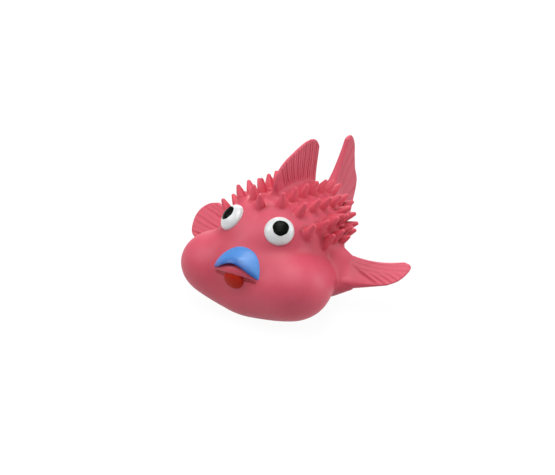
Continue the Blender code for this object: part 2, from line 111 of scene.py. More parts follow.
# Dorsal fin
# A thin latex blade moulded on the ridge of the back, with a smooth fleshy front and many fine
# grooves from root to margin.
class Wire:
    """A shader value that takes part in sums."""

    def __init__(self, tree, socket):
        self.tree = tree
        self.socket = socket

    def math(self, operation, first, second):
        made = self.tree.nodes.new("ShaderNodeMath")
        made.operation = operation
        for socket, value in zip(made.inputs, (first, second)):
            if isinstance(value, Wire):
                self.tree.links.new(value.socket, socket)
            else:
                socket.default_value = value
        return Wire(self.tree, made.outputs[0])

    def __add__(self, other):
        return self.math("ADD", self, other)

    def __radd__(self, other):
        return self.math("ADD", other, self)

    def __sub__(self, other):
        return self.math("SUBTRACT", self, other)

    def __rsub__(self, other):
        return self.math("SUBTRACT", other, self)

    def __mul__(self, other):
        return self.math("MULTIPLY", self, other)

    def __rmul__(self, other):
        return self.math("MULTIPLY", other, self)


class Finish:
    """A material with one shader, whose even values are set here and whose varying ones are wired."""

    def __init__(self, name, **even):
        self.material = bpy.data.materials.new(name)
        self.material.use_nodes = True
        self.tree = self.material.node_tree
        self.shader = self.tree.nodes["Principled BSDF"]
        for socket, value in even.items():
            self.shader.inputs[socket.replace("_", " ")].default_value = value

    def node(self, kind, settings, output, **inputs):
        """Adds a node: its settings first, then the values and wires of its sockets."""
        made = self.tree.nodes.new(kind)
        for setting, value in settings.items():
            setattr(made, setting, value)
        for name, value in inputs.items():
            at = int(name[1:]) if name[1:].isdigit() else name.replace("_", " ")
            if isinstance(value, Wire):
                self.tree.links.new(value.socket, made.inputs[at])
            else:
                made.inputs[at].default_value = value
        return Wire(self.tree, made.outputs[output])

    def place(self):
        return self.node("ShaderNodeTexCoord", {}, "Object")

    def noise(self, scale, detail):
        return self.node("ShaderNodeTexNoise", {}, "Fac", Vector=self.place(), Scale=scale, Detail=detail)

    def attribute(self, name):
        return self.node("ShaderNodeAttribute", {"attribute_name": name}, "Fac")

    def between(self, value, low, high):
        """0 up to the low value, 1 from the high one on and smooth between them."""
        settings = {"interpolation_type": "SMOOTHSTEP"}
        return self.node("ShaderNodeMapRange", settings, 0, Value=value, From_Min=low, From_Max=high)

    def mix(self, share, first, second):
        settings = {"data_type": "RGBA"}
        return self.node("ShaderNodeMix", settings, 2, _0=share, _6=first, _7=second)

    def bump(self, strength, distance, height):
        return self.node("ShaderNodeBump", {}, 0, Strength=strength, Distance=distance, Height=height)

    def wire(self, **varying):
        for socket, value in varying.items():
            self.tree.links.new(value.socket, self.shader.inputs[socket.replace("_", " ")])
        return self.material


deep_pink = (0.615, 0.066, 0.112, 1)
mid_pink = (0.675, 0.084, 0.138, 1)
pale_pink = (0.730, 0.122, 0.184, 1)
tip_pink = (0.800, 0.084, 0.130, 1)
# Painted shade: the dark red that the latex is mixed toward where shade falls.
painted_shade_red = (0.380, 0.016, 0.026, 1)
latex = Finish(
    "pink_latex", Subsurface_Weight=0.12, Subsurface_Scale=0.0015, Subsurface_Radius=(1.0, 0.35, 0.3),
    Specular_IOR_Level=0.5,
)
cloudy = latex.noise(26.0, 3.0)
mottled = latex.noise(190.0, 4.0)
grain = latex.noise(2600.0, 2.0)
painted_shade = latex.attribute("painted_shade")
thin = latex.attribute("thin")
pink = latex.mix(latex.between(cloudy, 0.35, 0.65), deep_pink, mid_pink)
pink = latex.mix(latex.between(mottled, 0.52, 0.78) * 0.35, pink, pale_pink)
pink = latex.mix(thin * 0.55, pink, tip_pink)
# Painted shade: the pink is darkened toward red by the painted shade attribute in crevices, fin grooves and
# the mouth groove, a little less on the spikes.
pink = latex.mix(1.1 * painted_shade * (1 - 0.35 * thin), pink, painted_shade_red)
pink_latex = latex.wire(
    Base_Color=pink,
    Roughness=0.44 + mottled * 0.16,
    Normal=latex.bump(0.10, 0.0004, grain * 0.6 + mottled * 0.4),
)


def smooth_line(stations, shares):
    """Points at these shares of a smooth curve through the stations."""
    points_per_station = 60
    stations = np.array(stations, float)
    padded = np.vstack((2 * stations[0] - stations[1], stations, 2 * stations[-1] - stations[-2]))
    fine = []
    for share in np.linspace(0.0, len(stations) - 1.0, points_per_station * len(stations)):
        first = min(int(share), len(stations) - 2)
        t = share - first
        a, b, c, d = padded[first:first + 4]
        bend = (2 * a - 5 * b + 4 * c - d) * t**2 + (3 * b - a - 3 * c + d) * t**3
        fine.append(0.5 * (2 * b + (c - a) * t + bend))
    fine = np.array(fine)
    run = np.concatenate(((0.0,), np.cumsum(np.linalg.norm(np.diff(fine, axis=0), axis=1))))
    return np.stack([np.interp(shares * run[-1], run, column) for column in fine.T], axis=-1)


def edge_shares(length, rounding, count):
    """Shares of a length, closer together at both ends so that its edges can be round."""
    edge_steps = 6
    end = rounding / length * (1 - np.cos(np.linspace(0.0, pi / 2, edge_steps, endpoint=False)))
    middle = np.linspace(rounding / length, 1 - rounding / length, count)
    return np.concatenate((end, middle, 1 - end[::-1]))


def rounded(depth, rounding):
    """The share of the full thickness at this depth behind a round edge."""
    return np.sqrt(1 - (1 - np.clip(depth / rounding, 0.0, 1.0)) ** 2)


def piece(name, mesh, finish=None):
    """Makes an object of a finished mesh and frees the mesh."""
    for face in mesh.faces:
        face.smooth = True
    data = bpy.data.meshes.new(name)
    mesh.to_mesh(data)
    mesh.free()
    made = bpy.data.objects.new(name, data)
    bpy.context.scene.collection.objects.link(made)
    if finish:
        data.materials.append(finish)
    return made


fin_sink = 0.0016
fin_stubs = []


def fin(name, root, margin, ribs, side, halves, edge, lead, grooves, sag, stubs, stub_length):
    """A blade from a root line on the body to a margin: two cut-up sheets joined along their edges.

    The halves are half its thickness at the root, in the blade and at the margin, and how far up the
    root flares. The lead is what the leading edge adds. The stubs are rods along the ribs, tapering
    into the blade, which the skin is later drawn round.
    """
    blade_steps = 56
    lead_width = 0.009
    lead_rounding = 1.3
    sunk_edge = 0.0008
    groove_share = 0.42
    groove_shade = 0.6
    ribs_per_stub = 3
    stub_sink = 0.001
    least_stub_foot = 0.35
    least_stub_tip = 0.0007
    stub_cover = 0.8
    lines = margin - root
    lengths = np.linalg.norm(lines, axis=1)[:, None]
    ways = lines / lengths
    steps = edge_shares(lengths.mean() + fin_sink, edge, blade_steps)
    run = -fin_sink + steps * (lengths + fin_sink)
    share = np.clip(run / lengths, 0.0, 1.0)
    middle = root[:, None] + ways[:, None] * run[..., None]
    middle = middle + sag * (4 * share * (1 - share))[..., None]
    chords = np.linalg.norm(np.diff(middle, axis=0), axis=2).sum(axis=0)
    from_lead = ribs[:, None] * chords
    from_trail = (1 - ribs[:, None]) * chords
    root_half, blade_half, edge_half, flare = halves
    half = blade_half + (edge_half - blade_half) * share
    half = half + (root_half - blade_half) * np.exp(-(np.maximum(run, 0.0) / flare) ** 2)
    half = half + lead * np.exp(-(from_lead / lead_width) ** 2) * (1 - share)
    lead_edge = edge * lead_rounding + 2 * lead * (1 - share)
    round_edges = rounded(from_lead, lead_edge) * rounded(from_trail, edge)
    round_edges = round_edges * rounded(lengths - run, edge) * rounded(run + fin_sink, sunk_edge)
    cut = np.clip(grooves(ribs[:, None], share), 0.0, 1.0) * round_edges
    half = half * round_edges * (1 - groove_share * cut)
    reach = np.abs(run - stub_length).argmin(axis=1)
    for rib in range(0, len(ribs), ribs_per_stub):
        if min(ribs[rib], 1 - ribs[rib]) * chords[0] < blade_half:
            continue
        foot_radius = root_half * max(round_edges[rib].max(), least_stub_foot)
        tip_radius = stub_cover * max(half[rib, reach[rib]], least_stub_tip)
        stubs.append((root[rib] - stub_sink * ways[rib], middle[rib, reach[rib]], foot_radius, tip_radius))
    sheet = bmesh.new()
    depth = sheet.verts.layers.float.new("painted_shade")
    columns = len(ribs) - 1
    rows = len(steps) - 1
    bmesh.ops.create_grid(sheet, x_segments=columns, y_segments=rows, size=1.0)
    other = bmesh.ops.duplicate(sheet, geom=sheet.verts[:] + sheet.edges[:] + sheet.faces[:])["geom"]
    turned_over = {item for item in other if isinstance(item, bmesh.types.BMVert)}
    for vert in sheet.verts:
        rib = round((vert.co.x + 1) / 2 * columns)
        step = round((vert.co.y + 1) / 2 * rows)
        offset = half[rib, step] * (-1 if vert in turned_over else 1)
        vert.co = middle[rib, step] + offset * side
        # Painted shade in the grooves: their depth, scaled, is stored for the finish to darken them.
        vert[depth] = groove_shade * cut[rib, step]
    bmesh.ops.remove_doubles(sheet, verts=sheet.verts[:], dist=tiny)
    bmesh.ops.recalc_face_normals(sheet, faces=sheet.faces[:])
    return piece(name, sheet, pink_latex)


def fade(value, start, end):
    """0 before the start, 1 after the end and smooth between them, in either direction."""
    share = np.clip((value - start) / (end - start), 0.0, 1.0)
    return share * share * (3 - 2 * share)


def ray_grooves(count, first, start, strength):
    """Fine grooves side by side, from a first rib and a share of its length on, each a little different."""
    wander = 0.14
    unevenness = 0.30
    narrowness = 6

    def depth(rib, share):
        place = (rib - first) / (1 - first) * count + wander * np.sin(6 * share + 9 * rib)
        each = 1 - unevenness + unevenness * np.sin(2.4 * np.floor(place + 0.5) + 0.7)
        line = np.abs(np.cos(pi * place)) ** narrowness
        ends = fade(share, start, start + 0.16) * fade(share, 1.0, 0.94)
        sides = fade(rib, first, first + 0.04) * fade(rib, 0.99, 0.96)
        return strength * line * each * ends * sides

    return depth


sideways = np.array((1.0, 0.0, 0.0))
dorsal_front = -0.0260
dorsal_rear = 0.0175
dorsal_ribs = edge_shares(length=0.050, rounding=0.0016, count=190)
ridge = np.zeros((len(dorsal_ribs), 3))
ridge[:, 1] = dorsal_front + (dorsal_rear - dorsal_front) * dorsal_ribs
ridge[:, 2] = trunk_centre[2]
dorsal_margin = smooth_line((
    (0.0, -0.0255, 0.0760),
    (0.0, -0.0220, 0.0827),
    (0.0, -0.0140, 0.0877),
    (0.0, -0.0030, 0.0911),
    (0.0, 0.0070, 0.0935),
    (0.0, 0.0150, 0.0939),
    (0.0, 0.0208, 0.0918),
    (0.0, 0.0242, 0.0870),
), dorsal_ribs)
dorsal_fin = fin(
    "dorsal_blade", on_body(ridge, (0.0, 0.0, 1.0)), dorsal_margin, dorsal_ribs, sideways,
    halves=(0.0027, 0.0019, 0.0011, 0.007), edge=0.0014, lead=0.0,
    grooves=ray_grooves(count=18, first=0.15, start=0.04, strength=1.0),
    sag=np.zeros(3), stubs=fin_stubs, stub_length=0.0042,
)
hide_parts("dorsal_fin")
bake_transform(dorsal_fin)


# Tail fin
# A tall latex blade moulded round the end of the tail stock, with a long upper lobe, a short lower
# one and a few shallow grooves on its rear half.
tail_lowest_angle = -42.0
tail_spread = 95.0
tail_bow_start = 0.72
tail_bow_depth = 0.0016
tail_ribs = edge_shares(length=0.060, rounding=0.0018, count=150)
tail_angles = np.radians(tail_lowest_angle + tail_spread * tail_ribs)
tail_ways = np.stack((0 * tail_angles, np.cos(tail_angles), np.sin(tail_angles)), axis=-1)
tail_margin = smooth_line((
    (0.0, 0.0550, 0.0145),
    (0.0, 0.0641, 0.0230),
    (0.0, 0.0694, 0.0360),
    (0.0, 0.0730, 0.0479),
    (0.0, 0.0701, 0.0580),
    (0.0, 0.0689, 0.0679),
    (0.0, 0.0680, 0.0772),
    (0.0, 0.0641, 0.0829),
    (0.0, 0.0585, 0.0819),
), tail_ribs)
tail_bow = np.zeros((len(tail_ribs), 1, 3))
tail_bow[:, 0, 1] = tail_bow_depth * np.clip((tail_ribs - tail_bow_start) / (1 - tail_bow_start), 0, 1)
tail_fin = fin(
    "tail_blade", on_body(tail_stock_centre, tail_ways), tail_margin, tail_ribs, sideways,
    halves=(0.0036, 0.0027, 0.0017, 0.007), edge=0.0021, lead=0.0,
    grooves=ray_grooves(count=7, first=0.04, start=0.16, strength=0.42),
    sag=tail_bow, stubs=fin_stubs, stub_length=0.0045,
)
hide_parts("tail_fin")
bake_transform(tail_fin)


# Pectoral fins
# Two latex paddles moulded on the flanks behind the cheeks, with a thick leading edge and grooves
# that run out to the margin. The right one is spread wider.
def paddle_grooves(rib, share):
    """One long groove across the blade, short ones along the lower margin and faint ones above them."""
    slant = 1.1
    long_place = 0.94
    long_width = 0.035
    short_pitch = 0.135
    faint_count = 7
    across = rib + slant * share
    long_one = np.exp(-(((across - long_place) / long_width) ** 2))
    long_one = long_one * fade(share, 0.22, 0.42) * fade(share, 0.78, 0.66)
    short = np.abs(np.cos(pi * (across - long_place) / short_pitch)) ** 5
    short = short * fade(across, 0.98, 1.04) * fade(rib, 0.70, 0.35) * fade(share, 0.35, 0.6)
    faint = np.abs(np.cos(pi * (rib + 0.25 * share) * faint_count)) ** 6
    faint = faint * fade(share, 0.2, 0.5) * fade(rib, 0.45, 0.65)
    return 0.7 * long_one + 0.55 * short + 0.25 * faint


paddle_stubs = []
paddle_ribs = edge_shares(length=0.026, rounding=0.0018, count=110)
paddle_low = np.array((0.0, -0.0190, 0.0122))
paddle_rise = np.array((0.0, 0.0150, 0.0218))
paddle_root = on_body(paddle_low + paddle_rise * paddle_ribs[:, None], sideways)
left_margin = smooth_line((
    (0.0730, -0.0109, 0.0222),
    (0.0782, -0.0048, 0.0245),
    (0.0802, 0.0040, 0.0276),
    (0.0784, 0.0088, 0.0292),
    (0.0735, 0.0099, 0.0298),
), paddle_ribs)
right_margin = smooth_line((
    (0.0665, -0.0196, 0.0168),
    (0.0756, -0.0158, 0.0203),
    (0.0797, -0.0086, 0.0262),
    (0.0797, -0.0020, 0.0313),
    (0.0755, 0.0033, 0.0352),
    (0.0680, 0.0055, 0.0371),
), paddle_ribs)
fine_rays = ray_grooves(count=11, first=0.02, start=0.12, strength=0.55)
paddle_dip = paddle_ribs[:, None, None] * np.array((0.0, -0.4, -0.9))
for name, mirror, margin, dip, grooves in (
    ("left_pectoral", 1.0, left_margin, 0.0036, paddle_grooves),
    ("right_pectoral", -1.0, right_margin, 0.0012, fine_rays),
):
    flip = np.array((mirror, 1.0, 1.0))
    side = np.cross(paddle_root[-1] - paddle_root[0], margin.mean(axis=0) - paddle_root.mean(axis=0))
    side = side / np.linalg.norm(side)
    paddle = fin(
        name + "_blade", paddle_root * flip, margin * flip, paddle_ribs, side * flip,
        halves=(0.0060, 0.0031, 0.0014, 0.006), edge=0.0021, lead=0.0032, grooves=grooves,
        sag=paddle_dip * dip * flip, stubs=paddle_stubs, stub_length=0.0095,
    )
    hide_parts(name + "_fin")
    mirror * 0.0480
    mirror * 0.0790
    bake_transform(paddle)


# Latex skin
# The hollow body itself, slush-moulded in one from pink latex about 2.4 mm thick: rows of soft
# spikes, the pink inner lip over the mouth groove, the stubs of the fins and the squeaker's seat.
skin_wall = 0.0024
voxel = 0.00076


def slopes(distance, points):
    """The way in which a distance grows, found from four points round each one."""
    step = 2e-5
    corners = np.array(((1, -1, -1), (-1, -1, 1), (-1, 1, -1), (1, 1, 1)), float)
    return sum(corner * distance(points + step * corner)[..., None] for corner in corners) / (4 * step)


def outward(points):
    """The way straight out of the body form at each point."""
    ways = slopes(body_distance, points)
    return ways / np.linalg.norm(ways, axis=-1, keepdims=True)


# Each row has its angle from the ridge and its place along the body at its front and rear ends, how
# many spikes it has on each side, and how far those at its front and rear ends lean upward.
spike_rows = (
    (19.0, 28.0, -0.0320, 0.0240, 7, 0.0, 0.0),
    (39.0, 48.0, -0.0300, 0.0160, 5, 0.1, 0.0),
    (61.0, 69.0, -0.0335, 0.0125, 5, 1.0, 0.0),
    (62.0, 58.0, -0.0045, 0.0200, 3, 0.0, 0.0),
    (80.0, 82.0, -0.0183, 0.0130, 4, 1.0, 0.2),
    (90.0, 88.0, -0.0025, 0.0075, 2, 0.6, 0.4),
)
brow_spike = (radians(-4.0), -0.0378, 0.3)
spike_places = [brow_spike]
for front_angle, rear_angle, front_y, rear_y, count, front_lean, rear_lean in spike_rows:
    for share in np.linspace(0.0, 1.0, count):
        angle = radians(front_angle + (rear_angle - front_angle) * share)
        along = front_y + (rear_y - front_y) * share
        lean = front_lean + (rear_lean - front_lean) * share
        spike_places += [(angle, along, lean), (-angle, along, lean)]
spike_height = 0.0081
spike_sink = 0.0010
spike_foot_radius = 0.0035
spike_tip_radius = 0.00135
spike_sweep = 0.22
spikes = []
for angle, along, lean in spike_places:
    foot = on_body((0.0, along, trunk_centre[2]), (sin(angle), 0.0, cos(angle)))
    way = outward(foot) + np.array((0.0, spike_sweep, lean))
    way = way / np.linalg.norm(way)
    spikes.append((foot - spike_sink * way, foot + spike_height * way, spike_foot_radius, spike_tip_radius))

forward = (0.0, -1.0, 0.0)
mouth_aside = 0.0022
mouth_depth = -0.0480
lip_half_width = 0.0165
inner_lip_height = 0.0368
inner_lip_droop = 0.0040
inner_lip_radius = 0.0034
inner_lip_bottom = 0.0030
inner_lip_top = 0.0016
groove_half_width = 0.0148
groove_height = 0.0332
groove_droop = 0.0014
groove_radius = 0.0013
groove_bottom = 0.0036
groove_top = 0.0020
inner_lip = []
mouth_groove = []
for across in np.linspace(-0.97, 0.97, 27):
    lip_z = inner_lip_height - inner_lip_droop * abs(across) ** 1.6
    rim = on_body((mouth_aside + lip_half_width * across, mouth_depth, lip_z), forward)
    out = outward(rim)
    radius = inner_lip_radius * (1 - 0.85 * abs(across) ** 1.8)
    inner_lip.append((rim - inner_lip_bottom * out, rim - inner_lip_top * out, radius, radius))
    groove_z = groove_height - groove_droop * across**2
    rim = on_body((mouth_aside + groove_half_width * across, mouth_depth, groove_z), forward)
    out = outward(rim)
    radius = groove_radius * np.sqrt(max(1 - across**2, 0.05))
    mouth_groove.append((rim - groove_bottom * out, rim + groove_top * out, radius, radius))
lower_lip_centre = (mouth_aside, -0.0630, 0.0255)
lower_lip_radii = (0.0115, 0.0075, 0.0056)
skin_rods = {
    "fin stubs": (fin_stubs, 0.0045),
    "paddle stubs": (paddle_stubs, 0.0060),
    "spikes": (spikes, 0.0013),
    "inner lip": (inner_lip, 0.0022),
}


def blown_cube(cuts, level):
    """A cube, cut up and blown out to this distance from the body's surface."""
    form = bmesh.new()
    bmesh.ops.create_cube(form, size=2.0)
    bmesh.ops.subdivide_edges(form, edges=form.edges[:], cuts=cuts, use_grid_fill=True)
    ways = np.tan(np.array([vert.co[:] for vert in form.verts]) * pi / 4)
    for vert, point in zip(form.verts, on_body(trunk_centre, ways, level)):
        vert.co = point
    return form


rough = blown_cube(cuts=34, level=0.0)
bmesh.ops.create_uvsphere(
    rough, u_segments=24, v_segments=16, radius=1.0,
    matrix=Matrix.Translation(lower_lip_centre) @ Matrix.Diagonal((*lower_lip_radii, 1.0)),
)
for rods, _ in skin_rods.values():
    for foot, tip, foot_radius, tip_radius in rods:
        way = Vector(tip - foot)
        stand = Matrix.Translation((foot + tip) / 2) @ way.to_track_quat("Z", "Y").to_matrix().to_4x4()
        bmesh.ops.create_cone(
            rough, cap_ends=True, segments=10, radius1=foot_radius, radius2=tip_radius,
            depth=way.length + tip_radius, matrix=stand,
        )
rough_form = piece("rough_form", rough)
cast = rough_form.modifiers.new("cast", "REMESH")
cast.mode = "VOXEL"
cast.voxel_size = voxel
graph = bpy.context.evaluated_depsgraph_get()
cast_mesh = bpy.data.meshes.new_from_object(rough_form.evaluated_get(graph))
bpy.data.objects.remove(rough_form)
settled = np.empty(len(cast_mesh.vertices) * 3)
cast_mesh.vertices.foreach_get("co", settled)
settled = settled.reshape(-1, 3)
ends = np.empty(len(cast_mesh.edges) * 2, int)
cast_mesh.edges.foreach_get("vertices", ends)
ends = ends.reshape(-1, 2)
both_ways = np.concatenate((ends, ends[:, ::-1]))
neighbours = np.bincount(both_ways[:, 0], minlength=len(settled))[:, None]


def near_rods(points, rods):
    """For each rod, which points lie so near that it can shape them."""
    influence = 0.020
    return [np.nonzero(np.linalg.norm(points - rod[1], axis=1) < influence)[0] for rod in rods]


near = {kind: near_rods(settled, rods) for kind, (rods, _) in skin_rods.items()}
near_groove = near_rods(settled, mouth_groove)


def rod_distance(points, rod):
    """How far each point is outside a rod that tapers from its foot to its tip."""
    foot, tip, foot_radius, tip_radius = rod
    along = tip - foot
    share = np.clip((points - foot) @ along / (along @ along), 0.0, 1.0)
    reach = np.linalg.norm(points - foot - share[..., None] * along, axis=-1)
    return reach - foot_radius - (tip_radius - foot_radius) * share**1.5


def skin_distance(points):
    """How far each point of the cast mesh, moved a little, is outside the finished skin."""
    lower_lip_join = 0.003
    rod_join = 0.0008
    groove_join = 0.0009
    skin = body_distance(points)
    skin = soft_min(skin, lump_distance(points, lower_lip_centre, lower_lip_radii), lower_lip_join)
    for kind, (rods, join) in skin_rods.items():
        joined = np.full(len(points), far_away)
        for rod, place in zip(rods, near[kind]):
            joined[place] = soft_min(joined[place], rod_distance(points[place], rod), rod_join)
        skin = soft_min(skin, joined, join)
    for rod, place in zip(mouth_groove, near_groove):
        skin[place] = -soft_min(-skin[place], rod_distance(points[place], rod), groove_join)
    return skin


settling_turns = 9
evening_turns = 7
evening = 0.6
longest_step = 0.0008
least_steepness = 0.05
for turn in range(settling_turns):
    ways = slopes(skin_distance, settled)
    steep = np.maximum((ways**2).sum(axis=1, keepdims=True), least_steepness)
    step = skin_distance(settled)[:, None] * ways / steep
    step_length = np.maximum(np.linalg.norm(step, axis=1, keepdims=True), tiny)
    settled = settled - step * np.minimum(1.0, longest_step / step_length)
    if turn < evening_turns:
        ways = ways / np.sqrt(steep)
        sums = [np.bincount(both_ways[:, 0], column[both_ways[:, 1]]) for column in settled.T]
        pull = np.stack(sums, axis=-1) / neighbours - settled
        settled = settled + evening * (pull - ways * (pull * ways).sum(axis=1, keepdims=True))
ways = slopes(skin_distance, settled)
ways = ways / np.linalg.norm(ways, axis=1, keepdims=True)
# Painted shade: how closed in each spot of the skin is, from probes a little way out from the surface,
# stored for the finish to darken crevices between spikes, under the lip, in the mouth groove and round the
# fin stubs.
painted_shade = np.zeros(len(settled))
shade_probes = (0.0012, 0.0025, 0.0045)
for rise in shade_probes:
    painted_shade += np.clip(1 - skin_distance(settled + rise * ways) / rise, 0.0, 1.0) / len(shade_probes)
thin = np.zeros(len(settled))
thin_edge = 0.0010
for rod, place in zip(spikes, near["spikes"]):
    thin[place] = np.maximum(thin[place], fade(rod_distance(settled[place], rod), thin_edge, 0.0))
cast_mesh.vertices.foreach_set("co", settled.ravel())
for name, values in (("painted_shade", painted_shade), ("thin", thin)):
    cast_mesh.attributes.new(name, "FLOAT", "POINT").data.foreach_set("value", values)
cast_mesh.polygons.foreach_set("use_smooth", [True] * len(cast_mesh.polygons))
latex_skin = bpy.data.objects.new("latex_skin", cast_mesh)
bpy.context.scene.collection.objects.link(latex_skin)

gap = 0.0003
below_floor = -0.01
squeaker_y = -0.0090
recess_top = 0.0018
seat_top = recess_top + skin_wall
boss_radius = 0.0130
hole_top = 0.02
neck_radius = 0.0078
flange_radius = 0.0098
round_steps = 96


def plug(name, radius, top):
    """A round plug on the squeaker's upright axis, from below the floor to its top."""
    made = bmesh.new()
    bmesh.ops.create_cone(
        made, cap_ends=True, segments=round_steps, radius1=radius, radius2=radius, depth=top - below_floor,
        matrix=Matrix.Translation((0.0, squeaker_y, (below_floor + top) / 2)),
    )
    return piece(name, made)


def combine(target, other, operation):
    """Joins or cuts with a helper, which is then removed."""
    tool = target.modifiers.new(operation.lower(), "BOOLEAN")
    tool.object = other
    tool.operation = operation
    tool.solver = "EXACT"
    result = bpy.data.meshes.new_from_object(target.evaluated_get(bpy.context.evaluated_depsgraph_get()))
    target.modifiers.clear()
    target.data = result
    bpy.data.objects.remove(other)


core = piece("core", blown_cube(cuts=30, level=-skin_wall))
combine(core, plug("boss", boss_radius, seat_top), "DIFFERENCE")
combine(core, plug("hole", neck_radius + gap, hole_top), "UNION")
combine(core, plug("recess", flange_radius + 2 * gap, recess_top), "UNION")
combine(latex_skin, core, "DIFFERENCE")
latex_skin.data.materials.clear()
latex_skin.data.materials.append(pink_latex)
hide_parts("belly_skin", "spiny_skin")
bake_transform(latex_skin)


# Eyes
# Two low round domes on the brows under thick white enamel, each with a hand-painted glossy black
# pupil that isn't quite round. They move with the upper skin.
def clouded(name, scale, detail, dark, light, roughness, bump, **even):
    """A finish whose colour, gloss and surface all vary with one fine noise."""
    finish = Finish(name, **even)
    cloudy = finish.noise(scale, detail)
    least, more = roughness
    varying = {"Base_Color": finish.mix(cloudy, (*dark, 1), (*light, 1)), "Roughness": least + cloudy * more}
    if bump:
        varying["Normal"] = finish.bump(*bump, cloudy)
    return finish.wire(**varying)


white_enamel = clouded(
    "white_enamel", 420.0, 3.0, dark=(0.66, 0.69, 0.70), light=(0.80, 0.82, 0.82),
    roughness=(0.26, 0.14), bump=(0.18, 0.0004), Coat_Roughness=0.12, Coat_Weight=0.35,
)
black_enamel = clouded(
    "black_enamel", 520.0, 3.0, dark=(0.002, 0.003, 0.002), light=(0.007, 0.009, 0.007),
    roughness=(0.16, 0.16), bump=(0.22, 0.0005), Specular_IOR_Level=0.06,
)
eye_way = (0.0181, -0.0334, 0.0209)
eye_radius = 0.0090
eye_rise = 0.0036
eye_roundness = 0.40
eye_sink = 0.0010
pupil_aside = 0.0010
pupil_up = 0.0007
pupil_radius = 0.0049
pupil_film = 0.0003
pupil_sink = 0.0004


def eye_lift(spots):
    """How high the white dome stands at spots measured from its middle."""
    share = np.linalg.norm(spots, axis=1) / eye_radius
    return eye_rise * np.maximum(1 - share**2, 0.0) ** eye_roundness


def pupil_spots(unit, middle):
    """Spots of a disc turned into spots of a pupil with a slightly uneven edge."""
    turn = np.arctan2(unit[:, 1], unit[:, 0])
    uneven = 1 + 0.025 * np.sin(3 * turn + 0.6) + 0.015 * np.sin(7 * turn)
    return middle + unit * pupil_radius * uneven[:, None]


def drop(name, foot, spot_of, lift_of, sink_of, finish):
    """A flattened ball on the body: its upper half lifted, its lower half sunk."""
    presses = 12
    out = outward(foot)
    up = np.array((0.0, 0.0, 1.0)) - out * out[2]
    up = up / np.linalg.norm(up)
    aside = np.cross(up, out)
    ball = bmesh.new()
    bmesh.ops.create_uvsphere(ball, u_segments=72, v_segments=36, radius=1.0)
    unit = np.array([vert.co[:] for vert in ball.verts])
    spots = spot_of(unit[:, :2])
    places = foot + spots[:, :1] * aside + spots[:, 1:] * up
    for _ in range(presses):
        places = places - out * body_distance(places)[:, None]
    height = unit[:, 2]
    lift = np.where(height >= -tiny, lift_of(spots, np.maximum(height, 0.0)), sink_of(spots))
    for vert, place in zip(ball.verts, places + out * lift[:, None]):
        vert.co = place
    return piece(name, ball, finish)


for name, mirror in (("left", 1.0), ("right", -1.0)):
    eye_foot = on_body(trunk_centre, np.array(eye_way) * (mirror, 1.0, 1.0))
    pupil_middle = np.array((mirror * pupil_aside, pupil_up))
    white = drop(
        name + "_eye_dome", eye_foot, lambda unit: unit * eye_radius,
        lambda spots, height: eye_lift(spots), lambda spots: -eye_sink, white_enamel,
    )
    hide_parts(name + "_eye_white")
    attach(white, "back")
    pupil = drop(
        name + "_pupil_film", eye_foot, lambda unit: pupil_spots(unit, pupil_middle),
        lambda spots, height: eye_lift(spots) + pupil_film * height**0.5,
        lambda spots: eye_lift(spots) - pupil_sink, black_enamel,
    )
    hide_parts(name + "_pupil")
    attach(pupil, "back")


# Upper lip
# A pouting lip under sky-blue enamel, thin at its upper edge and thick at the lower one, laid over
# the pink inner lip. It moves with the upper skin.
mid_blue = (0.070, 0.245, 0.660, 1)
sky_blue = (0.115, 0.330, 0.780, 1)
painted_highlight_blue = (0.230, 0.480, 0.860, 1)
painted_shade_blue = (0.022, 0.085, 0.360, 1)
enamel = Finish("blue_enamel", Specular_IOR_Level=0.34)
cloudy = enamel.noise(150.0, 4.0)
streak_place = enamel.node("ShaderNodeMapping", {}, 0, Vector=enamel.place(), Scale=(130.0, 130.0, 950.0))
streaky = enamel.node("ShaderNodeTexNoise", {}, "Fac", Vector=streak_place, Scale=1.0, Detail=3.0)
blue = enamel.mix(cloudy, mid_blue, sky_blue)
# Painted highlight: pale streaks along the lip, from the same stretched noise that also roughens and bumps
# the enamel.
blue = enamel.mix(enamel.between(streaky, 0.55, 0.75) * 0.45, blue, painted_highlight_blue)
# Painted shade: the enamel darkens toward a deep blue along the lip's lower edge, where it turns under.
blue = enamel.mix(enamel.attribute("painted_shade"), blue, painted_shade_blue)
blue_enamel = enamel.wire(
    Base_Color=blue,
    Roughness=0.22 + streaky * 0.16,
    Normal=enamel.bump(0.25, 0.0006, streaky),
)
lip_corner = 0.0338
lip_top_rise = 0.0140
lip_bottom_rise = 0.0066
lip_thickness = 0.0038
lip_outer_bulge = 0.0016
lip_inner_bulge = 0.0030
shade_start = 0.52
lip = bmesh.new()
shade_layer = lip.verts.layers.float.new("painted_shade")
bmesh.ops.create_uvsphere(
    lip, u_segments=64, v_segments=72, radius=1.0, matrix=Matrix.Rotation(radians(90.0), 4, "Y")
)
unit = np.array([vert.co[:] for vert in lip.verts])
full = np.maximum(1 - unit[:, 0] ** 2, tiny)
down = np.clip((1 - unit[:, 2] / np.sqrt(full)) / 2, 0.0, 1.0)
top = lip_corner + lip_top_rise * full**0.6
bottom = lip_corner + lip_bottom_rise * full**1.8
feet = np.full((len(unit), 3), mouth_depth)
feet[:, 0] = mouth_aside + lip_half_width * unit[:, 0]
feet[:, 2] = top + (bottom - top) * down
feet = on_body(feet, forward)
ramp = lip_thickness * full * down**1.2
bulge = np.where(unit[:, 1] < 0, lip_outer_bulge, lip_inner_bulge) * -unit[:, 1] * full**0.25
pout = np.array((0.0, -1.0, 0.35))
pout = pout / np.linalg.norm(pout)
for vert, place, share in zip(lip.verts, feet + pout * (ramp + bulge)[:, None], down):
    vert.co = place
    # Painted shade: the lower part of the lip is marked dark for the finish, from this share down.
    vert[shade_layer] = max(share - shade_start, 0.0) / (1 - shade_start)
upper_lip = piece("blue_lip", lip, blue_enamel)
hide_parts("upper_lip")
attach(upper_lip, "back")


